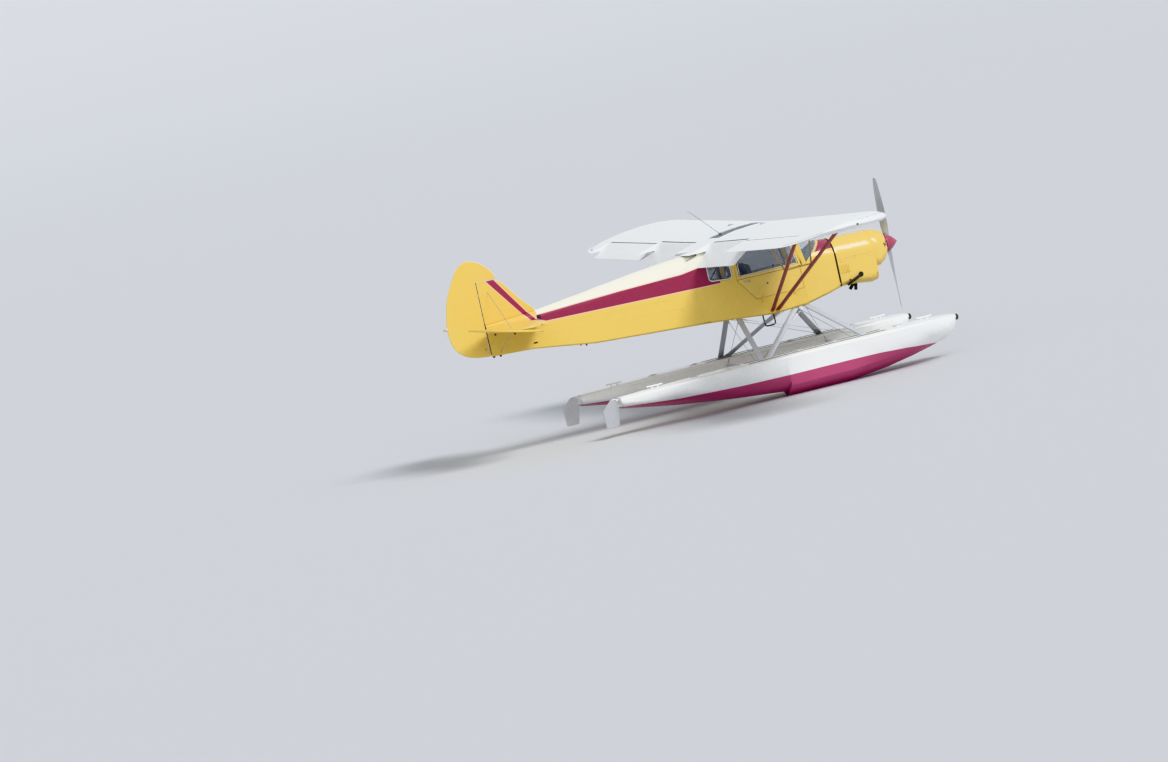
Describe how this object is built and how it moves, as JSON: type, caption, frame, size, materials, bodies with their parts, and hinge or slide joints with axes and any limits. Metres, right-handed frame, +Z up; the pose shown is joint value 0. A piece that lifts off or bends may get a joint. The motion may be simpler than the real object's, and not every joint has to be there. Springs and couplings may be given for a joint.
{
  "type": "two-seat high-wing floatplane",
  "caption": "Strut-braced high-wing light floatplane on twin floats, with tandem seats, a nose propeller, hinged control surfaces and a split cabin door.",
  "frame": {"origin": "on the floor at the middle of the overall box, below the wing", "axes": "+X towards the nose, +Y towards the left wing tip, +Z up, level as parked"},
  "size_m": [7.1716, 10.727, 2.8657],
  "materials": {
    "yellow_fabric": "doped fabric in golden yellow with a burgundy stripe, satin gloss",
    "yellow_metal": "golden yellow enamel on sheet metal",
    "white_fabric": "doped fabric in white",
    "white_metal": "white enamel, burgundy bottoms on the floats",
    "red_paint": "burgundy enamel",
    "strut_silver": "silver-grey streamlined tube",
    "propeller_metal": "polished blade",
    "water_rudder_metal": "plain sheet",
    "engine_metal": "bare castings",
    "stay_steel": "bright wire",
    "black_metal": "matt black",
    "black_rubber": "black moulded rubber",
    "panel_black": "matt black",
    "seat_cloth": "woven cloth",
    "clear_glass": "clear acrylic"
  },
  "bodies": {
    "airframe": {"fuselage_aft": "yellow_fabric", "cabin_side_left": "yellow_fabric", "cabin_side_right": "yellow_fabric", "cabin_floor": "yellow_fabric", "fin": "yellow_fabric", "stabilizer_left": "yellow_fabric", "stabilizer_right": "yellow_fabric", "boot_cowl": "yellow_metal", "engine_cowl": "yellow_metal", "nose_bowl": "yellow_metal", "cabin_roof": "white_fabric", "wing_left": "white_fabric", "wing_right": "white_fabric", "float_left": "white_metal", "float_right": "white_metal", "jury_strut_left": "white_metal", "jury_strut_right": "white_metal", "lift_strut_front_left": "red_paint", "lift_strut_rear_left": "red_paint", "lift_strut_front_right": "red_paint", "lift_strut_rear_right": "red_paint", "float_strut_front_left": "strut_silver", "float_strut_middle_left": "strut_silver", "float_strut_rear_left": "strut_silver", "float_strut_front_right": "strut_silver", "float_strut_middle_right": "strut_silver", "float_strut_rear_right": "strut_silver", "spreader_bar_front": "strut_silver", "spreader_bar_rear": "strut_silver", "firewall": "strut_silver", "engine_block": "engine_metal", "tail_stay_upper_left": "stay_steel", "tail_stay_lower_left": "stay_steel", "tail_stay_upper_right": "stay_steel", "tail_stay_lower_right": "stay_steel", "exhaust_pipe": "black_metal", "boarding_step": "black_metal", "bow_bumper_left": "black_rubber", "bow_bumper_right": "black_rubber", "instrument_panel": "panel_black", "seat_front": "seat_cloth", "seat_rear": "seat_cloth", "windshield": "clear_glass", "window_left_front": "clear_glass", "window_left_rear": "clear_glass", "window_right_rear": "clear_glass", "skylight": "clear_glass"},
    "propeller": {"spinner": "red_paint", "propeller": "propeller_metal"},
    "rudder": {"rudder": "yellow_fabric"},
    "elevator": {"elevator": "yellow_fabric"},
    "aileron_left": {"aileron_left": "white_fabric"},
    "aileron_right": {"aileron_right": "white_fabric"},
    "flap_left": {"flap_left": "white_fabric"},
    "flap_right": {"flap_right": "white_fabric"},
    "door_lower": {"door_lower": "yellow_metal"},
    "door_upper": {"door_upper": "yellow_metal", "window_right_front": "clear_glass"},
    "water_rudder_left": {"water_rudder_left": "water_rudder_metal"},
    "water_rudder_right": {"water_rudder_right": "water_rudder_metal"}
  },
  "joints": [
    {"name": "propeller_spin", "type": "hinge", "parent": "airframe", "child": "propeller", "pos_m": [3.1406, 0, 1.73], "axis": [1, 0, 0], "continuous": true},
    {"name": "rudder_swing", "type": "hinge", "parent": "airframe", "child": "rudder", "pos_m": [-3.0554, 0, 1.75], "axis": [0, 0, 1], "range_deg": [-25, 25]},
    {"name": "elevator_swing", "type": "hinge", "parent": "airframe", "child": "elevator", "pos_m": [-2.9834, 0, 1.83], "axis": [0, 1, 0], "range_deg": [-27, 13]},
    {"name": "aileron_left_swing", "type": "hinge", "parent": "airframe", "child": "aileron_left", "pos_m": [0.36386, 3.41838, 2.34215], "axis": [0, 0.9998, 0.0175], "range_deg": [-10, 26]},
    {"name": "aileron_right_swing", "type": "hinge", "parent": "airframe", "child": "aileron_right", "pos_m": [0.36386, -3.41838, 2.34215], "axis": [0, 0.9998, -0.0175], "range_deg": [-26, 10]},
    {"name": "flap_left_swing", "type": "hinge", "parent": "airframe", "child": "flap_left", "pos_m": [0.41967, 1.28857, 2.31254], "axis": [0, -0.9998, -0.0175], "range_deg": [-33, 17]},
    {"name": "flap_right_swing", "type": "hinge", "parent": "airframe", "child": "flap_right", "pos_m": [0.41967, -1.28857, 2.31254], "axis": [0, -0.9998, 0.0175], "range_deg": [-33, 17]},
    {"name": "door_lower_swing", "type": "hinge", "parent": "airframe", "child": "door_lower", "pos_m": [1.2766, -0.364, 1.4], "axis": [1, 0, 0], "range_deg": [0, 95]},
    {"name": "door_upper_swing", "type": "hinge", "parent": "airframe", "child": "door_upper", "pos_m": [1.2766, -0.364, 2.203], "axis": [-1, 0, 0], "range_deg": [0, 85]},
    {"name": "water_rudder_left_swing", "type": "hinge", "parent": "airframe", "child": "water_rudder_left", "pos_m": [-1.6554, 1.05, 0.473], "axis": [0, 0, 1], "range_deg": [-30, 30]},
    {"name": "water_rudder_right_swing", "type": "hinge", "parent": "airframe", "child": "water_rudder_right", "pos_m": [-1.6554, -1.05, 0.473], "axis": [0, 0, 1], "range_deg": [-30, 30]}
  ],
  "couplings": [
    {"joint": "aileron_right_swing", "follows": "aileron_left_swing", "ratio": -1},
    {"joint": "flap_right_swing", "follows": "flap_left_swing", "ratio": 1},
    {"joint": "water_rudder_left_swing", "follows": "rudder_swing", "ratio": 1.2},
    {"joint": "water_rudder_right_swing", "follows": "rudder_swing", "ratio": 1.2}
  ]
}
